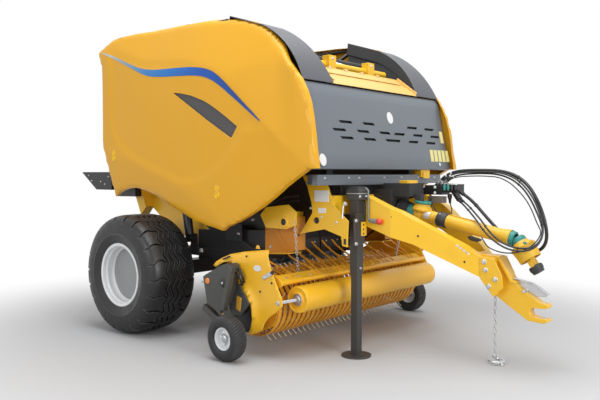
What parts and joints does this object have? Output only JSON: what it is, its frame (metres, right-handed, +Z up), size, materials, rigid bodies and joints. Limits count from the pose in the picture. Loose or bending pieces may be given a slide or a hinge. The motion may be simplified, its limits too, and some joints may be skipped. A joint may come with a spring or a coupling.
{
  "type": "round baler",
  "caption": "Towed round baler with gull-wing side doors, lifting tine pickup, rear tailgate, drawbar, parking jack and driveline.",
  "frame": {"origin": "on the ground under the middle of the machine", "axes": "+X to the machine's left, +Y rearwards, +Z up"},
  "size_m": [2.92, 4.93, 2.9406],
  "materials": {
    "body_yellow": "satin",
    "door_yellow": "gloss",
    "guard_yellow": "satin",
    "panel_grey": "satin",
    "dark_frame": "satin",
    "roller_steel": "satin",
    "bright_steel": "brushed",
    "wheel_white": "satin",
    "tyre": "matte",
    "belt_rubber": "matte",
    "hose_rubber": "satin"
  },
  "bodies": {
    "root": {"axle": "dark_frame", "chassis_wall_right": "body_yellow", "chassis_wall_left": "body_yellow", "front_frame": "body_yellow", "hood_beam": "dark_frame", "front_rollers": "roller_steel", "drawbar": "body_yellow", "hitch": "body_yellow", "gearbox": "body_yellow", "pto_bowl": "guard_yellow", "hose_stand": "dark_frame", "jack_tube": "dark_frame", "shoulder_panel_right": "panel_grey", "shoulder_panel_left": "panel_grey", "roof_cover": "body_yellow", "cylinder_bracket_right": "body_yellow", "cylinder_bracket_left": "body_yellow", "safety_chain": "bright_steel", "pto_rear_guard": "guard_yellow", "hose_thick": "hose_rubber", "hose_thin_low": "hose_rubber", "hose_thin_high": "hose_rubber", "signal_lead": "hose_rubber"},
    "wheel_right": {"rim_right": "wheel_white", "tyre_right": "tyre"},
    "wheel_left": {"rim_left": "wheel_white", "tyre_left": "tyre"},
    "pickup": {"pickup_frame": "body_yellow", "stripper_bands": "body_yellow", "pickup_shield_right": "body_yellow", "pickup_shield_left": "body_yellow", "end_box_right": "panel_grey", "end_box_left": "panel_grey", "gauge_arm_right": "dark_frame", "gauge_arm_left": "dark_frame"},
    "reel": {"pickup_reel": "body_yellow"},
    "wind_guard": {"windguard": "body_yellow"},
    "press_roller": {"windguard_roller": "body_yellow"},
    "gauge_wheel_right": {"gauge_rim_right": "wheel_white", "gauge_tyre_right": "tyre"},
    "gauge_wheel_left": {"gauge_rim_left": "wheel_white", "gauge_tyre_left": "tyre"},
    "rotor": {"feed_rotor": "dark_frame"},
    "door_right": {"side_door_right": "door_yellow"},
    "door_left": {"side_door_left": "door_yellow"},
    "hood": {"front_hood": "panel_grey"},
    "tailgate": {"tailgate_wall_right": "body_yellow", "tailgate_wall_left": "body_yellow", "tailgate_bars": "body_yellow", "tailgate_rollers": "roller_steel", "belts": "belt_rubber", "light_bar": "dark_frame"},
    "barrel_right": {"gate_barrel_right": "dark_frame"},
    "barrel_left": {"gate_barrel_left": "dark_frame"},
    "rod_right": {"gate_rod_right": "bright_steel"},
    "rod_left": {"gate_rod_left": "bright_steel"},
    "jack_foot": {"jack_leg": "dark_frame"},
    "driveline": {"pto_shaft": "guard_yellow"},
    "driveline_end": {"pto_yoke": "bright_steel"}
  },
  "joints": [
    {"name": "wheel_right_turn", "type": "hinge", "parent": "root", "child": "wheel_right", "pos_m": [-1.175, 1.125, 0.57], "axis": [1, 0, 0], "continuous": true},
    {"name": "wheel_left_turn", "type": "hinge", "parent": "root", "child": "wheel_left", "pos_m": [1.175, 1.125, 0.57], "axis": [1, 0, 0], "continuous": true},
    {"name": "pickup_lift", "type": "hinge", "parent": "root", "child": "pickup", "pos_m": [0, 0.145, 0.64], "axis": [-1, 0, 0], "range_deg": [0, 12]},
    {"name": "reel_turn", "type": "hinge", "parent": "pickup", "child": "reel", "pos_m": [0, -0.345, 0.418], "axis": [1, 0, 0], "continuous": true},
    {"name": "windguard_lift", "type": "hinge", "parent": "pickup", "child": "wind_guard", "pos_m": [0, -0.275, 0.8], "axis": [-1, 0, 0], "range_deg": [0, 15]},
    {"name": "press_roller_turn", "type": "hinge", "parent": "wind_guard", "child": "press_roller", "pos_m": [0, -0.775, 0.505], "axis": [1, 0, 0], "continuous": true},
    {"name": "gauge_wheel_right_turn", "type": "hinge", "parent": "pickup", "child": "gauge_wheel_right", "pos_m": [-1.39, -0.341, 0.19], "axis": [1, 0, 0], "continuous": true},
    {"name": "gauge_wheel_left_turn", "type": "hinge", "parent": "pickup", "child": "gauge_wheel_left", "pos_m": [1.39, -0.341, 0.19], "axis": [1, 0, 0], "continuous": true},
    {"name": "rotor_turn", "type": "hinge", "parent": "root", "child": "rotor", "pos_m": [0, 0.145, 0.64], "axis": [1, 0, 0], "continuous": true},
    {"name": "door_right_lift", "type": "hinge", "parent": "root", "child": "door_right", "pos_m": [-0.985, 0.325, 2.945], "axis": [0, 1, 0], "range_deg": [0, 70]},
    {"name": "door_left_lift", "type": "hinge", "parent": "root", "child": "door_left", "pos_m": [0.985, 0.325, 2.945], "axis": [0, -1, 0], "range_deg": [0, 70]},
    {"name": "hood_lift", "type": "hinge", "parent": "root", "child": "hood", "pos_m": [0, -0.872, 2.283], "axis": [-1, 0, 0], "range_deg": [0, 75]},
    {"name": "tailgate_lift", "type": "hinge", "parent": "root", "child": "tailgate", "pos_m": [0, 0.795, 2.7], "axis": [1, 0, 0], "range_deg": [0, 60]},
    {"name": "barrel_right_swing", "type": "hinge", "parent": "root", "child": "barrel_right", "pos_m": [-0.8, 0.825, 0.9], "axis": [1, 0, 0], "range_deg": [0, 2]},
    {"name": "rod_right_slide", "type": "slide", "parent": "barrel_right", "child": "rod_right", "axis": [0, 0.1789, 0.9839], "range_m": [0, 0.37]},
    {"name": "barrel_left_swing", "type": "hinge", "parent": "root", "child": "barrel_left", "pos_m": [0.8, 0.825, 0.9], "axis": [1, 0, 0], "range_deg": [0, 2]},
    {"name": "rod_left_slide", "type": "slide", "parent": "barrel_left", "child": "rod_left", "axis": [0, 0.1789, 0.9839], "range_m": [0, 0.37]},
    {"name": "jack_slide", "type": "slide", "parent": "root", "child": "jack_foot", "axis": [0, 0, 1], "range_m": [-0.1, 0.4]},
    {"name": "driveline_slide", "type": "slide", "parent": "root", "child": "driveline", "axis": [0, -0.9815, -0.1917], "range_m": [0, 0.2]},
    {"name": "driveline_end_bend", "type": "hinge", "parent": "driveline", "child": "driveline_end", "pos_m": [0, -2.165, 1.018], "axis": [-1, 0, 0], "range_deg": [-20, 20]}
  ],
  "couplings": [
    {"joint": "barrel_right_swing", "follows": "tailgate_lift", "ratio": 0.0279},
    {"joint": "rod_right_slide", "follows": "tailgate_lift", "m_per_rad": 0.3465},
    {"joint": "barrel_left_swing", "follows": "tailgate_lift", "ratio": 0.0279},
    {"joint": "rod_left_slide", "follows": "tailgate_lift", "m_per_rad": 0.3465}
  ]
}
